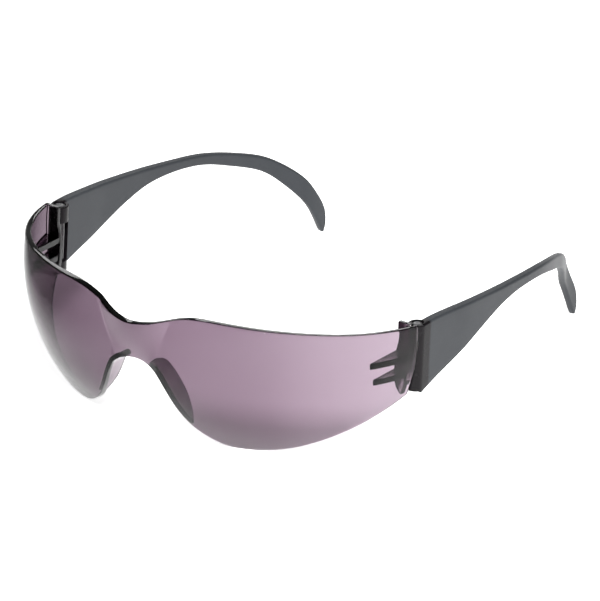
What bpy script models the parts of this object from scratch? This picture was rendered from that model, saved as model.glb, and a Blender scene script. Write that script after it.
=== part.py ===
"""Wraparound safety glasses: a one-piece tinted shield with two folding temples.

World frame: +X to the wearer's left, -Y the way the wearer looks, +Z up.
The glasses stand open on z = 0, on the low edges of the shield and the two temple tips.
The design numbers below are millimetres; the objects are built in metres.
"""
import math

import bmesh
import bpy

MM = 0.001

# Fineness of the surfaces, and where they count as sharp.
SHIELD_GRID = (66, 10)
FLANGE_GRID = (12, 2)
TEMPLE_GRID = (39, 3)
ROUND_SIDES = 24
SHARP_ANGLE = math.radians(35.0)
ROUNDED_ANGLE = math.radians(50.0)
# How far a cutter runs past the faces that it opens.
CUT_PAST = 2.0

# Where the hinge plane lies behind the middle of the whole object.
DESIGN_Y = -21.1

# Shield: each half is a cap of a sphere, moulded as one skin across the nose.
SPHERE_R = 59.0
SPHERE_X = 11.0
SPHERE_H = 36.0
SKIN = 2.2
SHIELD_END_Y = -10.3

# Edges of one half of the shield: distance along the skin from the nose, height.
# The first point of each lies across the nose, so that the edge is level at the middle.
LOWER_EDGE = [
    (-5.0, 24.2), (0.0, 25.3), (5.0, 24.2), (8.0, 21.9), (10.5, 17.5), (13.5, 12.0), (17.2, 7.2),
    (21.0, 4.2), (26.0, 1.6), (31.6, 0.2), (38.0, 0.0), (46.0, 0.4), (57.3, 2.3),
    (72.8, 7.6), (88.2, 15.0), (95.0, 18.6),
]
UPPER_EDGE = [
    (-6.0, 39.8), (0.0, 39.0), (6.0, 39.8), (9.5, 40.7), (12.7, 41.8), (16.0, 43.0), (20.0, 43.9),
    (26.4, 44.3),
    (41.9, 43.8), (57.3, 42.9), (72.8, 41.7), (88.2, 40.8), (95.0, 40.4),
]
CREASE_X = 8.2
CREASE_SPREAD = 0.4
CREASE_FOOT_H = 29.0
# The bridge leans forward: it starts behind the spheres and ends in front of them.
BRIDGE_LOW_H = 25.0
BRIDGE_LOW_SETBACK = 1.3
BRIDGE_TOP_H = 39.5
BRIDGE_TOP_SETBACK = -3.6
# Share of the shield's columns that the bridge takes.
BRIDGE_SHARE = 0.12

# Nose flanges, moulded on the back of the shield along the nose cut-out.
FLANGE_THICK = 1.9
FLANGE_START = 4.6
FLANGE_END = 17.5
# Share of the way down the flange, depth behind the middle of the skin.
FLANGE_DEPTHS = [(0.0, 5.4), (0.12, 6.9), (0.3, 7.4), (0.55, 7.2), (0.8, 4.6), (1.0, 1.3)]

# Gusset ribs inside the shield, in front of each hinge lug.
RIB_HEIGHTS = (30.65, 24.95)
RIB_THICK = 2.1
RIB_CHORD_X = 62.0
RIB_TIP_WIDTH = 0.7
RIB_ROOT = 0.6
RIB_STEPS = 8

# Hinge lug: an inward wall at the end of the shield, and a knuckle behind it.
LUG_FRONT_Y = -12.5
LUG_BACK_Y = -10.9
LUG_STEPS = 6
LUG_INNER_EDGE = [
    (64.0, 18.2), (63.2, 19.0), (62.3, 20.4), (61.8, 22.6), (61.6, 26.7), (61.8, 30.0),
    (62.2, 32.4), (62.8, 34.9), (62.9, 37.4), (62.9, 41.0),
]
HINGE_X = 66.2
HINGE_Y = -7.0
KNUCKLE_R = 1.8
KNUCKLE_LOW = 22.0
KNUCKLE_HIGH = 34.0
WEB_INNER_X = 64.6
WEB_OUTER_X = 66.0
WEB_ROOT = 0.5

# Hinge pin.
PIN_R = 0.75
PIN_HEAD_R = 1.65
PIN_HEAD_H = 0.8
PIN_LOW = 18.9
PIN_HIGH = 39.5
PIN_CLEARANCE = 0.3

# Temple: a strip bent in plan, wide at the hinge, slim in the middle, hooked at the end.
# The strip thins from the hinge to the tip: distance back, thickness.
TEMPLE_THICKNESS = [(-12.0, 3.2), (16.0, 3.2), (48.0, 2.9), (80.0, 2.4), (107.0, 2.1)]
TEMPLE_EDGE_ROUND = 0.7
BARREL_R = 2.8
BARREL_LOW = 18.3
BARREL_HIGH = 39.6
POCKET_R = 2.1
POCKET_GAP = 0.35
# The pocket opens inwards and forwards, so that the temple clears the web as it folds.
OPENING_INWARD = 5.0
OPENING_OUTWARD = 0.5
OPENING_FORWARD = 4.0
TEMPLE_PLAN = [
    (-12.0, 67.4), (0.0, 67.4), (8.0, 67.4), (16.0, 67.4), (27.0, 66.9), (40.0, 65.8),
    (62.0, 62.5), (80.0, 56.4), (88.0, 52.5), (96.0, 48.2), (107.0, 46.7),
]
# Upper and lower edge of the strip at each station: (y, height) pairs.
TEMPLE_STATIONS = [
    ((-7.0, 39.9), (-7.0, 17.6)),
    ((0.0, 40.0), (0.0, 20.2)),
    ((12.0, 39.3), (12.0, 24.0)),
    ((25.0, 38.3), (25.0, 28.9)),
    ((36.0, 37.4), (36.0, 32.0)),
    ((48.0, 36.3), (47.5, 32.8)),
    ((61.0, 34.9), (60.0, 31.7)),
    ((73.0, 32.3), (71.0, 28.7)),
    ((84.0, 28.5), (81.5, 24.8)),
    ((93.8, 21.4), (88.5, 19.3)),
    ((100.0, 13.8), (95.6, 11.4)),
    ((103.6, 8.0), (99.6, 5.4)),
    ((104.4, 3.4), (102.0, 1.2)),
    ((103.7, 0.8), (102.9, 0.0)),
]

# Colours, and roughness of each finish.
SHIELD_RGBA = (0.32, 0.20, 0.29, 0.55)
SHIELD_ROUGHNESS = 0.05
TEMPLE_RGBA = (0.085, 0.092, 0.098, 1.0)
TEMPLE_ROUGHNESS = 0.45
PIN_RGBA = (0.05, 0.05, 0.055, 1.0)
PIN_ROUGHNESS = 0.3


def spline(points, x):
    """Cubic Hermite curve through the points, with finite-difference slopes."""
    slopes = []
    for i, point in enumerate(points):
        low = points[max(i - 1, 0)]
        high = points[min(i + 1, len(points) - 1)]
        slopes.append((high[1] - low[1]) / (high[0] - low[0]))
    last = len(points) - 2
    i = 0
    while i < last and x > points[i + 1][0]:
        i += 1
    width = points[i + 1][0] - points[i][0]
    t = (x - points[i][0]) / width
    a = (1 + 2 * t) * (1 - t) ** 2
    b = t * (1 - t) ** 2
    c = t * t * (3 - 2 * t)
    d = t * t * (t - 1)
    return a * points[i][1] + b * width * slopes[i] + c * points[i + 1][1] + d * width * slopes[i + 1]


def blend(low, high, t):
    """Value a share t of the way from low to high."""
    return low + (high - low) * t


def material(name, rgba, roughness):
    """A Principled material for one object."""
    made = bpy.data.materials.new(name)
    made.use_nodes = True
    shader = made.node_tree.nodes["Principled BSDF"]
    shader.inputs["Base Color"].default_value = rgba
    shader.inputs["Alpha"].default_value = rgba[3]
    shader.inputs["Metallic"].default_value = 0.0
    shader.inputs["Roughness"].default_value = roughness
    return made


def add_object(name, bm, finish=None, parent=None, at=(0.0, 0.0, 0.0)):
    """Turn a bmesh in design millimetres into an object whose origin is at a design point."""
    for vert in bm.verts:
        vert.co = [(vert.co[k] - at[k]) * MM for k in range(3)]
    bmesh.ops.recalc_face_normals(bm, faces=bm.faces)
    mesh = bpy.data.meshes.new(name)
    bm.to_mesh(mesh)
    bm.free()
    obj = bpy.data.objects.new(name, mesh)
    obj.parent = parent
    bpy.context.scene.collection.objects.link(obj)
    if finish is not None:
        mesh.materials.append(finish)
        mesh.shade_smooth()
        mesh.set_sharp_from_angle(angle=SHARP_ANGLE)
    return obj


def add_tool(name, bm, parent, at=(0.0, 0.0, 0.0)):
    """A shape that is only joined to another object, or cut from it."""
    obj = add_object(name, bm, parent=parent, at=at)
    obj.hide_render = True
    obj.display_type = "WIRE"
    return obj


def boolean(obj, tool, operation):
    """Join a tool to an object, or cut it out."""
    step = obj.modifiers.new(tool.name, "BOOLEAN")
    step.object = tool
    step.operation = operation
    step.solver = "EXACT"


def grid(counts, place):
    """A grid of faces whose corners are place(column share, row share)."""
    bm = bmesh.new()
    bmesh.ops.create_grid(bm, x_segments=counts[0], y_segments=counts[1], size=1.0)
    for vert in bm.verts:
        vert.co = place((vert.co.x + 1) / 2, (vert.co.y + 1) / 2)
    return bm


def prism(outline, move):
    """A flat outline of 3-D points, extruded by a vector."""
    bm = bmesh.new()
    face = bm.faces.new([bm.verts.new(point) for point in outline])
    extruded = bmesh.ops.extrude_face_region(bm, geom=[face])
    moved = [item for item in extruded["geom"] if isinstance(item, bmesh.types.BMVert)]
    bmesh.ops.translate(bm, verts=moved, vec=move)
    return bm


def cylinder(x, y, low, high, radius, sides=ROUND_SIDES):
    """An upright cylinder."""
    bm = bmesh.new()
    made = bmesh.ops.create_cone(
        bm, cap_ends=True, segments=sides, radius1=radius, radius2=radius, depth=high - low
    )
    bmesh.ops.translate(bm, verts=made["verts"], vec=(x, y, (low + high) / 2))
    return bm


def box(low, high):
    """A box between two corners."""
    bm = bmesh.new()
    made = bmesh.ops.create_cube(bm, size=1.0)
    bmesh.ops.scale(bm, verts=made["verts"], vec=[high[k] - low[k] for k in range(3)])
    bmesh.ops.translate(bm, verts=made["verts"], vec=[(high[k] + low[k]) / 2 for k in range(3)])
    return bm


def ring_radius(height, depth=0.0):
    """Radius of the sphere's level circle at a height, some depth under its skin."""
    return math.sqrt((SPHERE_R - depth) ** 2 - (height - SPHERE_H) ** 2)


def crease_x(height):
    """Where the bridge meets the spherical skin, which spreads towards the brow."""
    return CREASE_X + CREASE_SPREAD * max(height - CREASE_FOOT_H, 0.0)


def skin_point(along, height, depth=0.0):
    """Point of the right half of the shield, a distance along the skin from the nose."""
    radius = ring_radius(height, depth)
    edge = crease_x(height)
    if along >= edge:
        turn = (along - SPHERE_X) / SPHERE_R
        return SPHERE_X + radius * math.sin(turn), -radius * math.cos(turn), height
    rim_y = -math.sqrt(radius ** 2 - (edge - SPHERE_X) ** 2)
    share = along / edge
    rise = min(max((height - BRIDGE_LOW_H) / (BRIDGE_TOP_H - BRIDGE_LOW_H), 0.0), 1.0)
    setback = blend(BRIDGE_LOW_SETBACK, BRIDGE_TOP_SETBACK, rise)
    return along, rim_y + setback * math.cos(share * math.pi / 2), height


def skin_length(height):
    """Distance along the skin from the nose to the shield's end plane."""
    turn = math.acos(-SHIELD_END_Y / ring_radius(height))
    return SPHERE_X + SPHERE_R * turn


def shield_place(column, row):
    """Outer surface of the whole shield; column 0.5 is the nose."""
    side = 1.0 if column >= 0.5 else -1.0
    share = abs(column - 0.5) * 2
    height = SPHERE_H
    for _ in range(4):
        edge = crease_x(height)
        if share <= BRIDGE_SHARE:
            along = edge * share / BRIDGE_SHARE
        else:
            outer = (share - BRIDGE_SHARE) / (1 - BRIDGE_SHARE)
            along = blend(edge, skin_length(height), outer)
        height = blend(spline(LOWER_EDGE, along), spline(UPPER_EDGE, along), row)
    x, y, z = skin_point(along, height)
    return side * x, y, z


def nose_flange_tool(side, parent):
    """A wall behind the shield along one side of the nose cut-out, fading out below."""

    def place(column, row):
        along = blend(FLANGE_START, FLANGE_END, column)
        x, y, z = skin_point(along, spline(LOWER_EDGE, along))
        depth = spline(FLANGE_DEPTHS, column)
        return side * x, y + SKIN / 2 + depth * row, z

    tool = add_tool("nose_flange_tool", grid(FLANGE_GRID, place), parent)
    step = tool.modifiers.new("wall", "SOLIDIFY")
    step.thickness = FLANGE_THICK * MM
    step.offset = side
    return tool


def rib(side, height):
    """A level rib between the shield's skin and a straight chord."""
    low = height - RIB_THICK / 2
    radius = ring_radius(height, SKIN / 2)
    tip_y = -math.sqrt(radius ** 2 - (RIB_CHORD_X + RIB_TIP_WIDTH - SPHERE_X) ** 2)
    back_y = LUG_FRONT_Y + RIB_ROOT
    outline = [(side * RIB_CHORD_X, back_y, low), (side * RIB_CHORD_X, tip_y, low)]
    for i in range(RIB_STEPS + 1):
        y = blend(tip_y, back_y, i / RIB_STEPS)
        outline.append((side * (SPHERE_X + math.sqrt(radius ** 2 - y ** 2)), y, low))
    return prism(outline, (0.0, 0.0, RIB_THICK))


def lug_wall(side):
    """The inward wall at the end of the shield."""
    outline = [(side * x, LUG_FRONT_Y, height) for x, height in LUG_INNER_EDGE]
    low = LUG_INNER_EDGE[0][1]
    high = LUG_INNER_EDGE[-1][1]
    for i in range(LUG_STEPS + 1):
        height = blend(high, low, i / LUG_STEPS)
        reach = math.sqrt(ring_radius(height, SKIN / 2) ** 2 - LUG_BACK_Y ** 2)
        outline.append((side * (SPHERE_X + reach), LUG_FRONT_Y, height))
    return prism(outline, (0.0, LUG_BACK_Y - LUG_FRONT_Y, 0.0))


def knuckle_web(side):
    """The block that carries the knuckle behind the lug wall."""
    xs = sorted((side * WEB_INNER_X, side * WEB_OUTER_X))
    low = (xs[0], LUG_BACK_Y - WEB_ROOT, KNUCKLE_LOW)
    high = (xs[1], HINGE_Y, KNUCKLE_HIGH)
    return box(low, high)


def make_shield(parent):
    """The one-piece shield with its flanges, ribs, lugs and knuckles."""
    finish = material("tinted_polycarbonate", SHIELD_RGBA, SHIELD_ROUGHNESS)
    shield = add_object("lens_shield", grid(SHIELD_GRID, shield_place), finish, parent)
    skin = shield.modifiers.new("skin", "SOLIDIFY")
    skin.thickness = SKIN * MM
    skin.offset = -1.0
    for side in (1, -1):
        hinge_x = side * HINGE_X
        boolean(shield, nose_flange_tool(side, parent), "UNION")
        for height in RIB_HEIGHTS:
            boolean(shield, add_tool("rib_tool", rib(side, height), parent), "UNION")
        boolean(shield, add_tool("lug_tool", lug_wall(side), parent), "UNION")
        boolean(shield, add_tool("web_tool", knuckle_web(side), parent), "UNION")
        knuckle = cylinder(hinge_x, HINGE_Y, KNUCKLE_LOW, KNUCKLE_HIGH, KNUCKLE_R)
        boolean(shield, add_tool("knuckle_tool", knuckle, parent), "UNION")
        low = KNUCKLE_LOW - CUT_PAST
        high = KNUCKLE_HIGH + CUT_PAST
        bore = cylinder(hinge_x, HINGE_Y, low, high, PIN_R + PIN_CLEARANCE)
        boolean(shield, add_tool("knuckle_bore_tool", bore, parent), "DIFFERENCE")
    return shield


def temple_edge(column, which):
    """Point (y, height) of the temple's upper (0) or lower (1) edge."""
    count = len(TEMPLE_STATIONS) - 1
    place = column * count
    ys = [(i, TEMPLE_STATIONS[i][which][0]) for i in range(count + 1)]
    heights = [(i, TEMPLE_STATIONS[i][which][1]) for i in range(count + 1)]
    return spline(ys, place), spline(heights, place)


def temple_strip(side):
    """The middle surface of a temple, flat near the hinge."""

    def place(column, row):
        top_y, top_h = temple_edge(column, 0)
        low_y, low_h = temple_edge(column, 1)
        y = blend(low_y, top_y, row)
        return side * spline(TEMPLE_PLAN, y), y, blend(low_h, top_h, row)

    return grid(TEMPLE_GRID, place)


def make_temple(name, side, hinge):
    """One temple: strip, barrel, pocket for the knuckle and bore for the pin."""
    finish = material(name + "_plastic", TEMPLE_RGBA, TEMPLE_ROUGHNESS)
    hinge_x = side * HINGE_X
    at = (hinge_x, HINGE_Y, 0.0)
    temple = add_object(name, temple_strip(side), finish, hinge, at)
    thickest = TEMPLE_THICKNESS[0][1]
    share = temple.vertex_groups.new(name="thickness")
    for vert in temple.data.vertices:
        y = vert.co.y / MM + HINGE_Y
        share.add([vert.index], spline(TEMPLE_THICKNESS, y) / thickest, "REPLACE")
    thick = temple.modifiers.new("thickness", "SOLIDIFY")
    thick.thickness = thickest * MM
    thick.offset = 0.0
    thick.vertex_group = share.name
    rounding = temple.modifiers.new("edges", "BEVEL")
    rounding.width = TEMPLE_EDGE_ROUND * MM
    rounding.segments = 2
    rounding.limit_method = "ANGLE"
    rounding.angle_limit = ROUNDED_ANGLE
    barrel = cylinder(hinge_x, HINGE_Y, BARREL_LOW, BARREL_HIGH, BARREL_R)
    boolean(temple, add_tool(name + "_barrel_tool", barrel, hinge, at), "UNION")
    low = KNUCKLE_LOW - POCKET_GAP
    high = KNUCKLE_HIGH + POCKET_GAP
    pocket = cylinder(hinge_x, HINGE_Y, low, high, POCKET_R)
    boolean(temple, add_tool(name + "_pocket_tool", pocket, hinge, at), "DIFFERENCE")
    xs = sorted((hinge_x - side * OPENING_INWARD, hinge_x + side * OPENING_OUTWARD))
    opening = box((xs[0], HINGE_Y - OPENING_FORWARD, low), (xs[1], HINGE_Y + POCKET_R, high))
    boolean(temple, add_tool(name + "_opening_tool", opening, hinge, at), "DIFFERENCE")
    low = BARREL_LOW - CUT_PAST
    high = BARREL_HIGH + CUT_PAST
    bore = cylinder(hinge_x, HINGE_Y, low, high, PIN_R + PIN_CLEARANCE)
    boolean(temple, add_tool(name + "_bore_tool", bore, hinge, at), "DIFFERENCE")
    seat_low = PIN_HIGH - PIN_HEAD_H - PIN_CLEARANCE
    seat = cylinder(hinge_x, HINGE_Y, seat_low, high, PIN_HEAD_R + PIN_CLEARANCE)
    boolean(temple, add_tool(name + "_seat_tool", seat, hinge, at), "DIFFERENCE")
    return temple


def make_pin(name, side, parent):
    """A headed hinge pin."""
    finish = material(name + "_steel", PIN_RGBA, PIN_ROUGHNESS)
    hinge_x = side * HINGE_X
    at = (hinge_x, HINGE_Y, 0.0)
    shank = cylinder(hinge_x, HINGE_Y, PIN_LOW, PIN_HIGH - PIN_HEAD_H / 2, PIN_R, 16)
    pin = add_object(name, shank, finish, parent, at)
    pin.location = [at[k] * MM for k in range(3)]
    head = cylinder(hinge_x, HINGE_Y, PIN_HIGH - PIN_HEAD_H, PIN_HIGH, PIN_HEAD_R)
    tool = add_tool(name + "_head_tool", head, parent, at)
    tool.location = pin.location
    boolean(pin, tool, "UNION")
    return pin


def main():
    """Build every piece."""
    for obj in list(bpy.data.objects):
        bpy.data.objects.remove(obj, do_unlink=True)
    glasses = bpy.data.objects.new("glasses", None)
    glasses.location = (0.0, DESIGN_Y * MM, 0.0)
    bpy.context.scene.collection.objects.link(glasses)
    make_shield(glasses)
    for word, side in (("left", 1), ("right", -1)):
        hinge = bpy.data.objects.new(word + "_hinge_axis", None)
        hinge.location = (side * HINGE_X * MM, HINGE_Y * MM, 0.0)
        hinge.parent = glasses
        bpy.context.scene.collection.objects.link(hinge)
        make_temple(word + "_temple", side, hinge)
        make_pin(word + "_hinge_pin", side, glasses)


main()
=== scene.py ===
"""Finished looks of the wraparound safety glasses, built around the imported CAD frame.

+X is the wearer's left, -Y the way the wearer looks, +Z up. Shapes are worked out in
millimetres in the design's own frame, whose y = 0 plane holds the middles of the two
spheres, and are written in metres in the row frame.
"""

import math

import bmesh
import bpy
import numpy as np
from mathutils import Matrix, Vector


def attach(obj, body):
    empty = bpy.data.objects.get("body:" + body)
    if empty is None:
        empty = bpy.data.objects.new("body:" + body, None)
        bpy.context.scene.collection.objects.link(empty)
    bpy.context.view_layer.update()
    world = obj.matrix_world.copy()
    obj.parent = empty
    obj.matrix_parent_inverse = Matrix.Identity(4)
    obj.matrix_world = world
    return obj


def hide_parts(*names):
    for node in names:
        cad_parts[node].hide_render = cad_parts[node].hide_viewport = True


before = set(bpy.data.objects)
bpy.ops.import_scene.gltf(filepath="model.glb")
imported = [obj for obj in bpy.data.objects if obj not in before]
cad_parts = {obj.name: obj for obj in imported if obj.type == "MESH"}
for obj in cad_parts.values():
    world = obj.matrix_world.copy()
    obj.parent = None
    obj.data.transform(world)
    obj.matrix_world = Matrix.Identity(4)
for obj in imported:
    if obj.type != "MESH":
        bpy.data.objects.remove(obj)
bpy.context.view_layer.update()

MM = 0.001
DESIGN_Y = -21.1

# ---------------------------------------------------------------- shield (mm)
SPHERE_R = 59.0
SPHERE_X = 11.0
SPHERE_H = 36.0
SHIELD_END_Y = -10.3
# Edges of one half: distance along the skin from the nose, height.
LOWER_EDGE = [
    (-5.0, 24.2), (0.0, 25.3), (5.0, 24.2), (8.0, 21.9), (10.5, 17.5), (13.5, 12.0), (17.2, 7.2),
    (21.0, 4.2), (26.0, 1.6), (31.6, 0.2), (38.0, 0.0), (46.0, 0.4), (57.3, 2.3),
    (72.8, 7.6), (88.2, 15.0), (95.0, 18.6),
]
UPPER_EDGE = [
    (-6.0, 39.8), (0.0, 39.0), (6.0, 39.8), (9.5, 40.7), (12.7, 41.8), (16.0, 43.0), (20.0, 43.9),
    (26.4, 44.3), (41.9, 43.8), (57.3, 42.9), (72.8, 41.7), (88.2, 40.8), (95.0, 40.4),
]
CREASE_X = 8.2
CREASE_SPREAD = 0.4
CREASE_FOOT_H = 29.0
# The bridge leans forward: it starts behind the spheres and ends in front of them.
BRIDGE_LOW_H = 25.0
BRIDGE_LOW_SETBACK = 1.3
BRIDGE_TOP_H = 39.5
BRIDGE_TOP_SETBACK = -3.6
# The skin is thickest at the nose and thins towards the hinges, as a corrected lens does.
SKIN_THICKNESS = [(-20.0, 2.5), (0.0, 2.5), (15.0, 2.45), (40.0, 2.35), (60.0, 1.95), (90.0, 1.5)]
MID_SKIN = 1.1
RIM_ROUND = 0.4
HALF_COLUMNS = 150
BRIDGE_SHARE = 0.2
ROWS = 44
# The outline and the crease depend on each other, and settle over a few passes.
OUTLINE_PASSES = 8
RIM_STEPS = 7
END_COLUMNS = 40

# Nose flanges on the back of the shield, along the nose cut-out.
FLANGE_THICK = 1.9
FLANGE_START = 4.4
FLANGE_END = 17.5
FLANGE_DEPTHS = [(0.0, 5.4), (0.12, 6.9), (0.3, 7.4), (0.55, 7.2), (0.8, 4.6), (1.0, 1.3)]
FLANGE_COLUMNS = 60
FLANGE_ROUND_STEPS = 15
FLANGE_LIFT = 0.05
# At its upper end the flange swells from a thin, shallow start.
FLANGE_ROUND_SHARE = 0.09
FLANGE_THIN_SHARE = 0.25
FLANGE_SHALLOW_SHARE = 0.75
SLOPE_STEP = 0.05

# Gusset ribs, hinge lugs and knuckles.
RIB_HEIGHTS = (30.65, 24.95)
RIB_THICK = 2.1
RIB_CHORD_X = 62.0
RIB_TIP_WIDTH = 0.7
RIB_ROOT = 0.6
RIB_STEPS = 20
LUG_FRONT_Y = -12.5
LUG_BACK_Y = -10.9
LUG_STEPS = 24
LUG_INNER_EDGE = [
    (64.0, 18.2), (63.2, 19.0), (62.3, 20.4), (61.8, 22.6), (61.6, 26.7), (61.8, 30.0),
    (62.2, 32.4), (62.8, 34.9), (62.9, 37.4), (62.9, 41.0),
]
TOOL_BEVEL = 0.3
BEVEL_SEGMENTS = 7
BEVEL_ANGLE = 60.0
SHARP_ANGLE = 15.0
HINGE_X = 66.2
HINGE_Y = -7.0
KNUCKLE_R = 1.8
KNUCKLE_LOW = 22.0
KNUCKLE_HIGH = 34.0
WEB_INNER_X = 64.6
WEB_OUTER_X = 66.0
WEB_ROOT = 0.5
CUT_PAST = 2.0
ROUND_SIDES = 48

# Hinge pin.
PIN_R = 0.75
PIN_HEAD_R = 1.65
PIN_HEAD_H = 0.8
PIN_LOW = 18.9
PIN_HIGH = 39.5
PIN_CLEARANCE = 0.3
PIN_TIP_BEVEL = 0.15
PIN_RIM_BEVEL = 0.08
# Rounded top of the pin's head: (distance in from its edge, height below its top) pairs.
PIN_DOME = [(0.0, 0.3), (0.08, 0.18), (0.35, 0.08), (0.8, 0.01)]
# A small dimple in its middle: (radius, depth) pairs.
PIN_DIMPLE = [(0.6, 0.0), (0.5, 0.05), (0.3, 0.16)]

# ---------------------------------------------------------------- temples (mm)
TEMPLE_THICKNESS = [(-12.0, 3.2), (16.0, 3.2), (48.0, 2.9), (80.0, 2.4), (107.0, 2.1)]
TEMPLE_EDGE_ROUND = 0.75
BARREL_R = 2.8
BARREL_LOW = 18.3
BARREL_HIGH = 39.6
BARREL_ROUND = 0.35
POCKET_R = 2.1
POCKET_GAP = 0.35
OPENING_INWARD = 5.0
OPENING_OUTWARD = 0.5
OPENING_FORWARD = 4.0
TEMPLE_PLAN = [
    (-12.0, 67.4), (0.0, 67.4), (8.0, 67.4), (16.0, 67.4), (27.0, 66.9), (40.0, 65.8),
    (62.0, 62.5), (80.0, 56.4), (88.0, 52.5), (96.0, 48.2), (107.0, 46.7),
]
# Upper and lower edge of the strip at each station: (y, height) pairs.
TEMPLE_STATIONS = [
    ((-7.0, 39.9), (-7.0, 17.6)),
    ((0.0, 40.0), (0.0, 20.2)),
    ((12.0, 39.3), (12.0, 24.0)),
    ((25.0, 38.3), (25.0, 28.9)),
    ((36.0, 37.4), (36.0, 32.0)),
    ((48.0, 36.3), (47.5, 32.8)),
    ((61.0, 34.9), (60.0, 31.7)),
    ((73.0, 32.3), (71.0, 28.7)),
    ((84.0, 28.5), (81.5, 24.8)),
    ((93.8, 21.4), (88.5, 19.3)),
    ((100.0, 13.8), (95.6, 11.4)),
    ((103.6, 8.0), (99.6, 5.4)),
    ((104.4, 3.4), (102.0, 1.2)),
    ((103.7, 0.8), (102.9, 0.0)),
]
TEMPLE_COLUMNS = 156
TEMPLE_FACE_ROWS = 10
TEMPLE_ROUND_STEPS = 7
LEAN_STEP = 0.1
BARREL_SIDES = 64
BARREL_ROUND_STEPS = 8


# ---------------------------------------------------------------- small helpers
def spline(points, x):
    """Cubic Hermite curve through the points, with finite-difference slopes."""
    xs = np.array([p[0] for p in points], float)
    ys = np.array([p[1] for p in points], float)
    slopes = np.empty_like(xs)
    slopes[1:-1] = (ys[2:] - ys[:-2]) / (xs[2:] - xs[:-2])
    slopes[0] = (ys[1] - ys[0]) / (xs[1] - xs[0])
    slopes[-1] = (ys[-1] - ys[-2]) / (xs[-1] - xs[-2])
    x = np.asarray(x, float)
    i = np.clip(np.searchsorted(xs, x, side="right") - 1, 0, len(xs) - 2)
    width = xs[i + 1] - xs[i]
    t = (x - xs[i]) / width
    rise = (1 + 2 * t) * (1 - t) ** 2 * ys[i] + t * t * (3 - 2 * t) * ys[i + 1]
    bend = t * (1 - t) ** 2 * slopes[i] + t * t * (t - 1) * slopes[i + 1]
    return rise + bend * width


def blend(low, high, t):
    """Value a share t of the way from low to high."""
    return low + (high - low) * t


def mesh_object(name, points, faces):
    """A mesh object from design points, with its faces pointing out."""
    mesh = bpy.data.meshes.new(name)
    placed = [(x * MM, (y + DESIGN_Y) * MM, z * MM) for x, y, z in points]
    mesh.from_pydata(placed, [], faces)
    bm = bmesh.new()
    bm.from_mesh(mesh)
    bmesh.ops.recalc_face_normals(bm, faces=bm.faces)
    bm.to_mesh(mesh)
    bm.free()
    obj = bpy.data.objects.new(name, mesh)
    bpy.context.scene.collection.objects.link(obj)
    return obj


def apply_modifiers(obj):
    """Turn the object's evaluated mesh into its own mesh."""
    graph = bpy.context.evaluated_depsgraph_get()
    done = bpy.data.meshes.new_from_object(obj.evaluated_get(graph))
    obj.modifiers.clear()
    obj.data = done


def boolean(obj, tool, operation):
    """Join a tool to an object, or cut it out; the tool is used up."""
    step = obj.modifiers.new("join", "BOOLEAN")
    step.object = tool
    step.operation = operation
    step.solver = "EXACT"
    apply_modifiers(obj)
    bpy.data.objects.remove(tool, do_unlink=True)


def round_edges(obj, width):
    """Round an object's sharp edges."""
    step = obj.modifiers.new("round", "BEVEL")
    step.width = width * MM
    step.segments = BEVEL_SEGMENTS
    step.limit_method = "ANGLE"
    step.angle_limit = math.radians(BEVEL_ANGLE)
    apply_modifiers(obj)


def loft(name, rings):
    """A closed solid through rings of points, with flat ends."""
    count = len(rings[0])
    points = [point for ring in rings for point in ring]
    faces = []
    for i in range(len(rings) - 1):
        for k in range(count):
            n = (k + 1) % count
            a = i * count
            faces.append((a + k, a + n, a + count + n, a + count + k))
    last = (len(rings) - 1) * count
    faces.append(tuple(range(count)))
    faces.append(tuple(range(last, last + count)))
    return mesh_object(name, points, faces)


def turned(name, x, y, profile, sides=ROUND_SIDES):
    """An upright turned solid: profile is a list of (radius, height) from foot to top."""
    rings = []
    for radius, height in profile:
        angles = [2 * math.pi * k / sides for k in range(sides)]
        rings.append([(x + radius * math.cos(a), y + radius * math.sin(a), height) for a in angles])
    return loft(name, rings)


def box(name, low, high):
    """A box between two corners."""
    ring = [(low[0], low[1]), (high[0], low[1]), (high[0], high[1]), (low[0], high[1])]
    return loft(name, [[(x, y, low[2]) for x, y in ring], [(x, y, high[2]) for x, y in ring]])


def smooth(obj):
    """Smooth shading, with creases kept where faces meet at a clear angle."""
    obj.data.shade_smooth()
    obj.data.set_sharp_from_angle(angle=math.radians(SHARP_ANGLE))


# ---------------------------------------------------------------- the shield
def ring_radius(height, depth=0.0):
    """Radius of the sphere's level circle at a height, some depth under its skin."""
    return np.sqrt((SPHERE_R - depth) ** 2 - (height - SPHERE_H) ** 2)


def crease_x(height):
    """Where the bridge meets the spherical skin, which spreads towards the brow."""
    return CREASE_X + CREASE_SPREAD * np.maximum(height - CREASE_FOOT_H, 0.0)


def skin_points(along, height, depth):
    """Points of the shield; along is the distance from the nose, negative on the right."""
    side = np.where(along < 0, -1.0, 1.0)
    reach = np.abs(along)
    radius = ring_radius(height, depth)
    edge = crease_x(height)
    turn = (reach - SPHERE_X) / SPHERE_R
    rim_turn = (edge - SPHERE_X) / SPHERE_R
    rim_x = SPHERE_X + radius * np.sin(rim_turn)
    rim_y = -radius * np.cos(rim_turn)
    share = np.clip(reach / edge, 0, 1)
    rise = np.clip((height - BRIDGE_LOW_H) / (BRIDGE_TOP_H - BRIDGE_LOW_H), 0, 1)
    setback = blend(BRIDGE_LOW_SETBACK, BRIDGE_TOP_SETBACK, rise)
    on_cap = reach >= edge
    x = np.where(on_cap, SPHERE_X + radius * np.sin(turn), rim_x * share)
    y = np.where(on_cap, -radius * np.cos(turn), rim_y + setback * np.cos(share * math.pi / 2))
    return np.stack([side * x, y, height], axis=-1)


def skin_length(height):
    """Distance along the skin from the nose to the shield's end plane."""
    return SPHERE_X + SPHERE_R * np.arccos(-SHIELD_END_Y / ring_radius(height))


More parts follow.
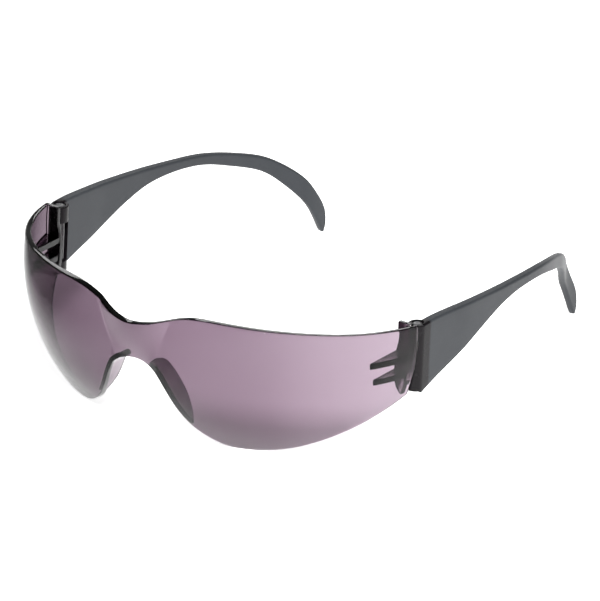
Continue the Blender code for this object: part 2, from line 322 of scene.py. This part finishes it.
def outline_grid():
    """(along, height) over the whole shield, with a column on each crease."""
    share = np.linspace(-1, 1, 2 * HALF_COLUMNS + 1)[:, None]
    row = np.linspace(0, 1, ROWS + 1)[None, :]
    level = np.full((share.size, row.size), SPHERE_H)
    for _ in range(OUTLINE_PASSES):
        edge = crease_x(level)
        inner = edge * np.abs(share) / BRIDGE_SHARE
        outer = blend(edge, skin_length(level), (np.abs(share) - BRIDGE_SHARE) / (1 - BRIDGE_SHARE))
        reach = np.where(np.abs(share) <= BRIDGE_SHARE, inner, outer)
        level = blend(spline(LOWER_EDGE, reach), spline(UPPER_EDGE, reach), row)
    return np.stack([np.sign(share) * reach, level], axis=-1)


def boundary_loop():
    """Grid indices round the edge of the grid, in order."""
    last = 2 * HALF_COLUMNS
    loop = [(i, 0) for i in range(last)]
    loop += [(last, j) for j in range(ROWS)]
    loop += [(i, ROWS) for i in range(last, 0, -1)]
    loop += [(0, j) for j in range(ROWS, 0, -1)]
    return loop


def inset_grid(grid, loop, inset):
    """The grid with its edge moved to the inset line, and the inside eased after it."""
    moved = np.zeros_like(grid)
    for (i, j), point in zip(loop, inset):
        moved[i, j] = point - grid[i, j]
    row = np.linspace(0, 1, ROWS + 1)[None, :, None]
    shift = moved[:, :1] * (1 - row) + moved[:, -1:] * row
    for end in (0, -1):
        leftover = moved[end] - shift[end]
        steps = np.arange(len(grid)) if end == 0 else np.arange(len(grid))[::-1]
        weight = np.clip(1 - steps / END_COLUMNS, 0, 1) ** 2
        shift = shift + weight[:, None, None] * leftover[None]
    return grid + shift


def make_skin():
    """The shield's skin with rounded rims, before its flanges and lugs are joined."""
    grid = outline_grid()
    loop = boundary_loop()
    rim = np.array([grid[i, j] for i, j in loop])
    ahead = np.roll(rim, -1, axis=0) - np.roll(rim, 1, axis=0)
    inward = np.stack([-ahead[:, 1], ahead[:, 0]], axis=1)
    inward /= np.linalg.norm(inward, axis=1)[:, None]
    grid = inset_grid(grid, loop, rim + inward * RIM_ROUND)
    points = []
    faces = []

    def add_face_grid(share):
        """One face of the skin, a share of its thickness deep; gives its edge's indices."""
        start = len(points)
        thick = spline(SKIN_THICKNESS, np.abs(grid[..., 0]))
        points.extend(map(tuple, skin_points(grid[..., 0], grid[..., 1], share * thick).reshape(-1, 3)))
        for i in range(2 * HALF_COLUMNS):
            for j in range(ROWS):
                a = start + i * (ROWS + 1) + j
                b = a + ROWS + 1
                faces.append((a, b, b + 1, a + 1))
        return [start + i * (ROWS + 1) + j for i, j in loop]

    def add_strip(one, other):
        """Faces between two closed lines of indices."""
        for k in range(len(loop)):
            n = (k + 1) % len(loop)
            faces.append((one[k], one[n], other[n], other[k]))

    outer = add_face_grid(0.0)
    inner = add_face_grid(1.0)
    thick = spline(SKIN_THICKNESS, np.abs(rim[:, 0]))
    angles = [math.pi / 2 * k / RIM_STEPS for k in range(1, RIM_STEPS + 1)]
    steps = [(RIM_ROUND * (1 - math.sin(a)), RIM_ROUND * (1 - math.cos(a)), True) for a in angles]
    steps += [(across, under, False) for across, under, _ in reversed(steps)]
    line = outer
    for across, under, from_front in steps[:-1]:
        at = rim + inward * across
        depth = under if from_front else thick - under
        start = len(points)
        points.extend(map(tuple, skin_points(at[:, 0], at[:, 1], depth)))
        ring = list(range(start, start + len(loop)))
        add_strip(line, ring)
        line = ring
    add_strip(line, inner)
    return mesh_object("shield", points, faces)


def nose_flange(side):
    """A wall behind the shield along one side of the nose cut-out, with a rounded back."""
    rings = []
    for i in range(FLANGE_COLUMNS + 1):
        share = i / FLANGE_COLUMNS
        along = blend(FLANGE_START, FLANGE_END, share)
        low = float(spline(LOWER_EDGE, along))
        ahead = spline(LOWER_EDGE, along + SLOPE_STEP)
        slope = float(ahead - spline(LOWER_EDGE, along - SLOPE_STEP)) / (2 * SLOPE_STEP)
        normal = np.array([-slope, 1.0]) / math.hypot(slope, 1.0)
        opened = min(share / FLANGE_ROUND_SHARE, 1.0)
        swell = max(math.sqrt(1 - (1 - opened) ** 2), FLANGE_THIN_SHARE)
        depth = float(spline(FLANGE_DEPTHS, share)) * blend(FLANGE_SHALLOW_SHARE, 1.0, swell)
        half = FLANGE_THICK / 2 * swell
        section = [(-half, 0.0), (-half, depth - half)]
        section += [
            (-half * math.cos(a), depth - half + half * math.sin(a))
            for a in np.linspace(0, math.pi, FLANGE_ROUND_STEPS)[1:-1]
        ]
        section += [(half, depth - half), (half, 0.0)]
        ring = []
        for across, back in section:
            at = np.array([along, low]) + normal * (FLANGE_THICK / 2 + FLANGE_LIFT + across)
            x, y, z = skin_points(at[0], at[1], MID_SKIN)
            ring.append((side * x, y + back, z))
        rings.append(ring)
    return loft("nose_flange", rings)


def rib(side, height):
    """A level rib between the shield's skin and a straight chord."""
    radius = float(ring_radius(height, MID_SKIN))
    tip_y = -math.sqrt(radius ** 2 - (RIB_CHORD_X + RIB_TIP_WIDTH - SPHERE_X) ** 2)
    back_y = LUG_FRONT_Y + RIB_ROOT
    outline = [(side * RIB_CHORD_X, back_y), (side * RIB_CHORD_X, tip_y)]
    for i in range(RIB_STEPS + 1):
        y = blend(tip_y, back_y, i / RIB_STEPS)
        outline.append((side * (SPHERE_X + math.sqrt(radius ** 2 - y ** 2)), y))
    low = height - RIB_THICK / 2
    made = loft("rib", [[(x, y, z) for x, y in outline] for z in (low, low + RIB_THICK)])
    round_edges(made, TOOL_BEVEL)
    return made


def lug_wall(side):
    """The inward wall at the end of the shield."""
    turns = np.linspace(0, len(LUG_INNER_EDGE) - 1, LUG_STEPS * 2)
    xs = spline([(k, p[0]) for k, p in enumerate(LUG_INNER_EDGE)], turns)
    heights = spline([(k, p[1]) for k, p in enumerate(LUG_INNER_EDGE)], turns)
    outline = [(side * float(x), float(height)) for x, height in zip(xs, heights)]
    for i in range(LUG_STEPS + 1):
        height = blend(LUG_INNER_EDGE[-1][1], LUG_INNER_EDGE[0][1], i / LUG_STEPS)
        reach = math.sqrt(ring_radius(height, MID_SKIN) ** 2 - LUG_BACK_Y ** 2)
        outline.append((side * (SPHERE_X + reach), height))
    made = loft("lug", [[(x, y, z) for x, z in outline] for y in (LUG_FRONT_Y, LUG_BACK_Y)])
    round_edges(made, TOOL_BEVEL)
    return made


def hinge_end(side):
    """Lug wall, ribs, web and knuckle of one side, joined, with the pin's bore cut."""
    made = lug_wall(side)
    for height in RIB_HEIGHTS:
        boolean(made, rib(side, height), "UNION")
    xs = sorted((side * WEB_INNER_X, side * WEB_OUTER_X))
    web = box("web", (xs[0], LUG_BACK_Y - WEB_ROOT, KNUCKLE_LOW), (xs[1], HINGE_Y, KNUCKLE_HIGH))
    boolean(made, web, "UNION")
    x = side * HINGE_X
    profile = [(KNUCKLE_R, KNUCKLE_LOW), (KNUCKLE_R, KNUCKLE_HIGH)]
    boolean(made, turned("knuckle", x, HINGE_Y, profile), "UNION")
    bore_r = PIN_R + PIN_CLEARANCE
    bore = [(bore_r, KNUCKLE_LOW - CUT_PAST), (bore_r, KNUCKLE_HIGH + CUT_PAST)]
    boolean(made, turned("bore", x, HINGE_Y, bore), "DIFFERENCE")
    return made


def make_shield(finish):
    """The whole shield."""
    shield = make_skin()
    for side in (1, -1):
        boolean(shield, nose_flange(side), "UNION")
        boolean(shield, hinge_end(side), "UNION")
    smooth(shield)
    shield.data.materials.clear()
    shield.data.materials.append(finish)
    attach(shield, "shield")
    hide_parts("lens_shield")
    return shield


# ---------------------------------------------------------------- the temples
def temple_edge(place, which):
    """Point (y, height) of the temple's upper (0) or lower (1) edge at a station place."""
    ys = [(i, pair[which][0]) for i, pair in enumerate(TEMPLE_STATIONS)]
    heights = [(i, pair[which][1]) for i, pair in enumerate(TEMPLE_STATIONS)]
    return np.array([float(spline(ys, place)), float(spline(heights, place))])


def temple_section(width, thick):
    """Half of a rounded section: (distance from the lower edge, half thickness) pairs."""
    corner = min(TEMPLE_EDGE_ROUND, thick / 2, width / 2.05)
    angles = np.linspace(0, math.pi / 2, TEMPLE_ROUND_STEPS + 1)
    rise = [(corner * (1 - math.cos(a)), thick / 2 - corner + corner * math.sin(a)) for a in angles]
    level = [(d, thick / 2) for d in np.linspace(corner, width - corner, TEMPLE_FACE_ROWS + 1)[1:-1]]
    fall = [(width - d, half) for d, half in reversed(rise)]
    return rise + level + fall


def temple_strip(side):
    """The temple's bent strip, with rounded edges."""
    rings = []
    for i in range(TEMPLE_COLUMNS + 1):
        place = (len(TEMPLE_STATIONS) - 1) * i / TEMPLE_COLUMNS
        top = temple_edge(place, 0)
        low = temple_edge(place, 1)
        width = float(np.hypot(*(top - low)))
        thick = float(spline(TEMPLE_THICKNESS, (top[0] + low[0]) / 2))
        section = temple_section(width, thick)
        ring = []
        for turn, half_section in ((1, section), (-1, section[::-1])):
            for distance, half in half_section:
                y, height = blend(low, top, distance / width)
                x = float(spline(TEMPLE_PLAN, y))
                ahead = spline(TEMPLE_PLAN, y + LEAN_STEP)
                lean = float(ahead - spline(TEMPLE_PLAN, y - LEAN_STEP)) / (2 * LEAN_STEP)
                long = math.hypot(1.0, lean)
                ring.append((side * (x + turn * half / long), y - turn * half * lean / long, height))
        rings.append(ring)
    return loft("temple", rings)


def make_temple(word, side, finish):
    """One temple: strip, barrel, pocket for the knuckle and bore for the pin."""
    temple = temple_strip(side)
    temple.name = "temple_" + word
    x = side * HINGE_X
    corner = [(BARREL_R - BARREL_ROUND * (1 - math.sin(a)), BARREL_ROUND * (1 - math.cos(a)))
              for a in np.linspace(0, math.pi / 2, BARREL_ROUND_STEPS)]
    profile = [(r, BARREL_LOW + h) for r, h in corner]
    profile += [(r, BARREL_HIGH - h) for r, h in reversed(corner)]
    boolean(temple, turned("barrel", x, HINGE_Y, profile, BARREL_SIDES), "UNION")
    low = KNUCKLE_LOW - POCKET_GAP
    high = KNUCKLE_HIGH + POCKET_GAP
    boolean(temple, turned("pocket", x, HINGE_Y, [(POCKET_R, low), (POCKET_R, high)]), "DIFFERENCE")
    xs = sorted((x - side * OPENING_INWARD, x + side * OPENING_OUTWARD))
    opening = box("opening", (xs[0], HINGE_Y - OPENING_FORWARD, low), (xs[1], HINGE_Y + POCKET_R, high))
    boolean(temple, opening, "DIFFERENCE")
    bore_r = PIN_R + PIN_CLEARANCE
    seat_r = PIN_HEAD_R + PIN_CLEARANCE
    seat_low = PIN_HIGH - PIN_HEAD_H - PIN_CLEARANCE
    bore = [(bore_r, BARREL_LOW - CUT_PAST), (bore_r, seat_low + CUT_PAST)]
    boolean(temple, turned("bore", x, HINGE_Y, bore), "DIFFERENCE")
    seat = [(seat_r, seat_low), (seat_r, BARREL_HIGH + CUT_PAST)]
    boolean(temple, turned("seat", x, HINGE_Y, seat), "DIFFERENCE")
    smooth(temple)
    temple.data.materials.clear()
    temple.data.materials.append(finish)
    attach(temple, word + "_temple")
    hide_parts(word + "_temple")
    return temple


def make_pin(word, side, finish):
    """A hinge pin with a domed head, a rounded rim and a small dimple."""
    head_low = PIN_HIGH - PIN_HEAD_H
    profile = [(PIN_R - PIN_TIP_BEVEL, PIN_LOW), (PIN_R, PIN_LOW + PIN_TIP_BEVEL), (PIN_R, head_low)]
    profile += [(PIN_HEAD_R - PIN_RIM_BEVEL, head_low), (PIN_HEAD_R, head_low + PIN_RIM_BEVEL)]
    profile += [(PIN_HEAD_R - inward, PIN_HIGH - drop) for inward, drop in PIN_DOME]
    profile += [(radius, PIN_HIGH - depth) for radius, depth in PIN_DIMPLE]
    pin = turned("pin_" + word, side * HINGE_X, HINGE_Y, profile)
    smooth(pin)
    pin.data.materials.append(finish)
    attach(pin, "shield")
    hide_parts(word + "_hinge_pin")
    return pin


# ---------------------------------------------------------------- node trees
class Nodes:
    """A node tree being built, over the piece's or the surround's own coordinates."""

    def __init__(self, tree, coords):
        self.tree = tree
        self.coords = self.add("ShaderNodeTexCoord").outputs[coords]

    def add(self, kind, **values):
        """A new node with some of its input values set."""
        node = self.tree.nodes.new(kind)
        for key, value in values.items():
            node.inputs[key.replace("_", " ")].default_value = value
        return node

    def link(self, output, node, name):
        """Join an output to an input, named or numbered."""
        self.tree.links.new(output, node.inputs[name])

    def noise(self, scale, detail):
        """A noise value over the piece."""
        node = self.add("ShaderNodeTexNoise", Scale=scale, Detail=detail)
        self.link(self.coords, node, "Vector")
        return node.outputs["Fac"]

    def ramp(self, value, low, high):
        """The value stretched from 0..1 to low..high."""
        node = self.add("ShaderNodeMapRange", To_Min=low, To_Max=high)
        self.link(value, node, "Value")
        return node.outputs["Result"]

    def between(self, value, start, end):
        """0 before start and 1 past end."""
        node = self.add("ShaderNodeMapRange", From_Min=start, From_Max=end)
        self.link(value, node, "Value")
        return node.outputs["Result"]

    def eased(self, value, start, end, low, high):
        """The value taken softly from low at start to high at end."""
        node = self.add("ShaderNodeMapRange", From_Min=start, From_Max=end, To_Min=low, To_Max=high)
        node.interpolation_type = "SMOOTHSTEP"
        self.link(value, node, "Value")
        return node.outputs["Result"]

    def calculate(self, operation, *values):
        """A sum on one or two value outputs."""
        node = self.add("ShaderNodeMath")
        node.operation = operation
        for place, value in enumerate(values):
            self.link(value, node, place)
        return node.outputs["Value"]

    def vector_sum(self, operation, vector, output, constant=(0.0, 0.0, 0.0)):
        """A sum on a vector output and a constant vector."""
        node = self.add("ShaderNodeVectorMath")
        node.operation = operation
        self.link(vector, node, 0)
        node.inputs[1].default_value = constant
        return node.outputs[output]

    def part(self, vector, axis):
        """One coordinate of a vector."""
        node = self.add("ShaderNodeSeparateXYZ")
        self.link(vector, node, "Vector")
        return node.outputs[axis]

    def along(self, way):
        """How far the surface is along a direction."""
        return self.vector_sum("DOT_PRODUCT", self.coords, "Value", way)

    def offset(self, middle):
        """The vector from a middle to the surface, with the right half mirrored to the left."""
        folded = self.add("ShaderNodeCombineXYZ")
        self.link(self.calculate("ABSOLUTE", self.part(self.coords, "X")), folded, "X")
        for axis in ("Y", "Z"):
            self.link(self.part(self.coords, axis), folded, axis)
        return self.vector_sum("SUBTRACT", folded.outputs["Vector"], "Vector", middle)

    def mix(self, share, one, other):
        """A colour between two, each a constant or an output."""
        node = self.add("ShaderNodeMix")
        node.data_type = "RGBA"
        self.link(share, node, 0)
        for place, colour in ((6, one), (7, other)):
            if isinstance(colour, tuple):
                node.inputs[place].default_value = colour
            else:
                self.link(colour, node, place)
        return node.outputs[2]

    def bump(self, height, strength, distance, normal=None):
        """A bump from a height value, over another one if it is given."""
        node = self.add("ShaderNodeBump", Strength=strength, Distance=distance)
        self.link(height, node, "Height")
        if normal is not None:
            self.link(normal, node, "Normal")
        return node.outputs["Normal"]


class Shader(Nodes):
    """A node material being built round its Principled shader."""

    def __init__(self, name):
        self.material = bpy.data.materials.new(name)
        self.material.use_nodes = True
        super().__init__(self.material.node_tree, "Object")
        self.main = self.tree.nodes["Principled BSDF"]

    def set(self, name, value):
        """Give the Principled shader a constant."""
        self.main.inputs[name].default_value = value


# ---------------------------------------------------------------- materials
def grey(value):
    """An opaque grey."""
    return (value, value, value, 1.0)


# Polycarbonate, with its tint per metre of depth. Its reflection is turned down to a fifth
# to bring the edges nearer to the photo. The surround was darkened at the same time, so
# what this does alone is not known.
TINT_COLOUR = (0.26, 0.12, 0.23, 1.0)
TINT_DENSITY = 1000.0
LENS_IOR = 1.586
LENS_SHINE = grey(0.2)
# The moulded hinge end is darker: past this x, and deeper than the skin.
LUG_COLOUR = (0.05, 0.035, 0.045, 1.0)
LUG_DARK_X = 61.2
LUG_DARK_FADE = 0.6
LUG_DARK_DEPTHS = (2.6, 3.4)
# The temples, and the polished barrel, which ends at this y in row-frame millimetres. The barrel's
# near-black colour is painted shade on its rounded front end.
STRIP_TONES = ((0.030, 0.033, 0.037, 1.0), (0.042, 0.045, 0.050, 1.0))
BARREL_PAINTED_SHADE = (0.006, 0.005, 0.006, 1.0)
BARREL_DARK_Y = -25.6
BARREL_FADE = 1.0
TEMPLE_SHINE = 0.13
PIN_TONES = ((0.30, 0.30, 0.31, 1.0), (0.45, 0.45, 0.46, 1.0))
# Fine textures. A noise is a scale and a detail, a roughness its two ends, and a bump its
# strength and its distance in metres.
WIPE_NOISE = (45.0, 4.0)
WIPE_ROUGHNESS = (0.008, 0.035)
FLOW_NOISE = (30.0, 1.0)
FLOW_BUMP = (0.03, 0.0004)
CLOUD_NOISE = (70.0, 3.0)
CLOUD_BUMP = (0.15, 0.0003)
WEAR_NOISE = (260.0, 4.0)
WEAR_ROUGHNESS = (0.14, 0.2)
BARREL_TO_STRIP_ROUGHNESS = (0.1, 0.24)
GRAIN_NOISE = (2600.0, 2.0)
GRAIN_BUMP = (0.25, 0.00005)
TURNING_NOISE = (900.0, 3.0)
TURNING_BUMP = (0.1, 0.00005)
PIN_NOISE = (1800.0, 2.0)
PIN_ROUGHNESS = (0.22, 0.4)


def tinted_polycarbonate():
    """Clear gloss polycarbonate, tinted all through; lamps shine through it in its colour."""
    made = Shader("tinted_polycarbonate")
    away = made.offset(tuple(c * MM for c in (SPHERE_X, DESIGN_Y, SPHERE_H)))
    limits = [(SPHERE_R - depth) * MM for depth in LUG_DARK_DEPTHS]
    deep = made.between(made.vector_sum("LENGTH", away, "Value"), *limits)
    start, end = LUG_DARK_X, LUG_DARK_X + LUG_DARK_FADE
    limits_x = [(x - SPHERE_X) * MM for x in (start, end)]
    beside = made.between(made.part(away, "X"), *limits_x)
    colour = made.mix(made.calculate("MULTIPLY", deep, beside), grey(1.0), LUG_COLOUR)
    made.link(colour, made.main, "Base Color")
    made.set("IOR", LENS_IOR)
    made.set("Transmission Weight", 1.0)
    made.set("Specular Tint", LENS_SHINE)
    wipe_marks = made.ramp(made.noise(*WIPE_NOISE), *WIPE_ROUGHNESS)
    made.link(wipe_marks, made.main, "Roughness")
    mould_flow = made.bump(made.noise(*FLOW_NOISE), *FLOW_BUMP)
    made.link(mould_flow, made.main, "Normal")
    clear = made.add("ShaderNodeBsdfTransparent")
    lamp_ray = made.add("ShaderNodeLightPath").outputs["Is Shadow Ray"]
    surface = made.add("ShaderNodeMixShader")
    made.link(lamp_ray, surface, "Fac")
    made.link(made.main.outputs["BSDF"], surface, 1)
    made.link(clear.outputs["BSDF"], surface, 2)
    output = made.tree.nodes["Material Output"]
    made.link(surface.outputs["Shader"], output, "Surface")
    tint = made.add("ShaderNodeVolumeAbsorption", Color=TINT_COLOUR, Density=TINT_DENSITY)
    made.link(tint.outputs["Volume"], output, "Volume")
    return made.material


def charcoal_plastic():
    """Satin charcoal plastic with a fine moulded grain, polished at the hinge barrel, where painted
    shade darkens it.
    """
    made = Shader("temple_plastic")
    cloud = made.noise(*CLOUD_NOISE)
    row_y = made.part(made.coords, "Y")
    behind = made.between(row_y, BARREL_DARK_Y * MM, (BARREL_DARK_Y + BARREL_FADE) * MM)
    # Painted shade: the barrel is coloured near-black; the strip's two tones vary at random.
    made.link(made.mix(behind, BARREL_PAINTED_SHADE, made.mix(cloud, *STRIP_TONES)), made.main, "Base Color")
    wear = made.ramp(made.noise(*WEAR_NOISE), *WEAR_ROUGHNESS)
    satin = made.ramp(behind, *BARREL_TO_STRIP_ROUGHNESS)
    made.link(made.calculate("ADD", wear, satin), made.main, "Roughness")
    grain = made.bump(made.noise(*GRAIN_NOISE), *GRAIN_BUMP)
    made.link(made.bump(cloud, *CLOUD_BUMP, grain), made.main, "Normal")
    made.set("Specular IOR Level", TEMPLE_SHINE)
    return made.material


def pin_steel():
    """Steel with faint turning marks."""
    made = Shader("pin_steel")
    made.set("Metallic", 1.0)
    tone = made.noise(*TURNING_NOISE)
    made.link(made.mix(tone, *PIN_TONES), made.main, "Base Color")
    made.link(made.ramp(made.noise(*PIN_NOISE), *PIN_ROUGHNESS), made.main, "Roughness")
    made.link(made.bump(tone, *TURNING_BUMP), made.main, "Normal")
    return made.material


# ---------------------------------------------------------------- floor, light, camera
FLOOR_HALF = 6.0
# The lit sheet under the glasses ends beside their right half; past it the floor is dark.
# Distances are along this direction, in row-frame millimetres.
SHEET_SIDE = (0.809, 0.588, 0.0)
SHEET_END = -128.0
SHEET_FADE = 40.0
SHEET_DARK = grey(0.1)
SHEET_PALE = grey(0.9)
# The sheet's colour is darker towards that end, from beside the nose on: painted shade standing in for
# less light there.
SHEET_DIM_END = -75.0
SHEET_DIM_WIDTH = 38.0
SHEET_PAINTED_SHADE = grey(0.3)
# It glows as well, so that shadows on it stay white.
SHEET_GLOW = (0.1, 0.88)
FLOOR_ROUGHNESS = 0.9
FLOOR_SHINE = 0.1

# The surround is dimmer on the photographer's side and towards the ceiling: each is a
# place where the change starts and ends, and the strengths there.
CAMERA_SIDE = (0.57, -0.82, 0.0)
SIDE_FADE = (-0.2, 0.9, 1.05, 0.3)
CEILING_FADE = (0.0, 0.3, 1.0, 0.12)

# Lamps: name, place, size and power. All of them aim at the middle of the glasses.
LAMPS = [
    ("key", (0.75, -1.1, 1.6), 0.5, 76.0),
    ("fill", (-0.95, -0.9, 1.6), 0.6, 8.0),
    ("rim", (-1.04, 1.5, 0.84), 0.4, 1.3),
]
LAMP_AIM = Vector((0.0, 0.0, 0.02))


def make_floor():
    """A pale, faintly glowing sheet on a dark floor, with painted shade towards one end."""
    mesh = bpy.data.meshes.new("floor")
    half = FLOOR_HALF
    corners = [(-half, -half, 0), (half, -half, 0), (half, half, 0), (-half, half, 0)]
    mesh.from_pydata(corners, [], [(0, 1, 2, 3)])
    floor = bpy.data.objects.new("floor", mesh)
    bpy.context.scene.collection.objects.link(floor)
    made = Shader("floor_white")
    across = made.along(SHEET_SIDE)
    sheet = made.between(across, SHEET_END * MM, (SHEET_END + SHEET_FADE) * MM)
    lit = made.between(across, SHEET_DIM_END * MM, (SHEET_DIM_END + SHEET_DIM_WIDTH) * MM)
    # Painted shade: the sheet's colour darkens towards the dim end.
    pale = made.mix(lit, SHEET_PAINTED_SHADE, SHEET_PALE)
    made.link(made.mix(sheet, SHEET_DARK, pale), made.main, "Base Color")
    made.link(made.ramp(sheet, *SHEET_GLOW), made.main, "Emission Strength")
    made.set("Emission Color", grey(1.0))
    made.set("Roughness", FLOOR_ROUGHNESS)
    made.set("Specular IOR Level", FLOOR_SHINE)
    made.material.cycles.emission_sampling = "NONE"
    mesh.materials.append(made.material)


def make_world():
    """A pale surround, dimmer on the photographer's side and overhead."""
    world = bpy.data.worlds.new("studio")
    world.use_nodes = True
    bpy.context.scene.world = world
    nodes = Nodes(world.node_tree, "Generated")
    background = nodes.tree.nodes["Background"]
    side_level = nodes.eased(nodes.along(CAMERA_SIDE), *SIDE_FADE)
    ceiling_level = nodes.eased(nodes.part(nodes.coords, "Z"), *CEILING_FADE)
    nodes.link(nodes.calculate("MULTIPLY", side_level, ceiling_level), background, "Strength")
    background.inputs["Color"].default_value = grey(1.0)


def make_lamp(name, place, size, power):
    """A square soft light aimed at the middle of the glasses."""
    lamp = bpy.data.lights.new(name, "AREA")
    lamp.size = size
    lamp.energy = power
    obj = bpy.data.objects.new(name, lamp)
    obj.location = place
    aim = LAMP_AIM - obj.location
    obj.rotation_euler = aim.to_track_quat("-Z", "Y").to_euler()
    bpy.context.scene.collection.objects.link(obj)


# The camera looks down at the glasses from their left front, from far away.
VIEW_AZIMUTH = math.radians(35.02)
VIEW_ELEVATION = math.radians(23.93)
VIEW_ROLL = math.radians(2.50)
VIEW_DISTANCE = 4.08
VIEW_SPAN = 0.17944
AIM = Vector((0.0, DESIGN_Y * MM, SPHERE_H * MM))
AIM_RIGHT = 0.01479
AIM_UP = -0.01006
SENSOR_WIDTH = 36.0
CLIP_END = 50.0
MAX_BOUNCES = 24
TRANSMISSION_BOUNCES = 16


def make_camera():
    """The photographer's camera."""
    a, e, r = VIEW_AZIMUTH, VIEW_ELEVATION, VIEW_ROLL
    forward = Vector((-math.sin(a) * math.cos(e), math.cos(a) * math.cos(e), -math.sin(e)))
    level = Vector((math.cos(a), math.sin(a), 0.0))
    upright = level.cross(forward)
    right = level * math.cos(r) + upright * math.sin(r)
    up = upright * math.cos(r) - level * math.sin(r)
    data = bpy.data.cameras.new("camera")
    data.sensor_width = SENSOR_WIDTH
    data.lens = data.sensor_width * VIEW_DISTANCE / VIEW_SPAN
    data.clip_end = CLIP_END
    camera = bpy.data.objects.new("camera", data)
    place = AIM - forward * VIEW_DISTANCE + right * AIM_RIGHT + up * AIM_UP
    turn = Matrix((right, up, -forward)).transposed().to_4x4()
    camera.matrix_world = Matrix.Translation(place) @ turn
    bpy.context.scene.collection.objects.link(camera)
    bpy.context.scene.camera = camera


lens_finish = tinted_polycarbonate()
temple_finish = charcoal_plastic()
pin_finish = pin_steel()
make_shield(lens_finish)
for word, side in (("left", 1), ("right", -1)):
    make_temple(word, side, temple_finish)
    make_pin(word, side, pin_finish)

make_floor()
make_world()
for lamp in LAMPS:
    make_lamp(*lamp)
make_camera()
bpy.context.scene.view_settings.view_transform = "Standard"
cycles = bpy.context.scene.cycles
cycles.use_denoising = True
cycles.max_bounces = MAX_BOUNCES
cycles.transmission_bounces = TRANSMISSION_BOUNCES
cycles.transparent_max_bounces = MAX_BOUNCES
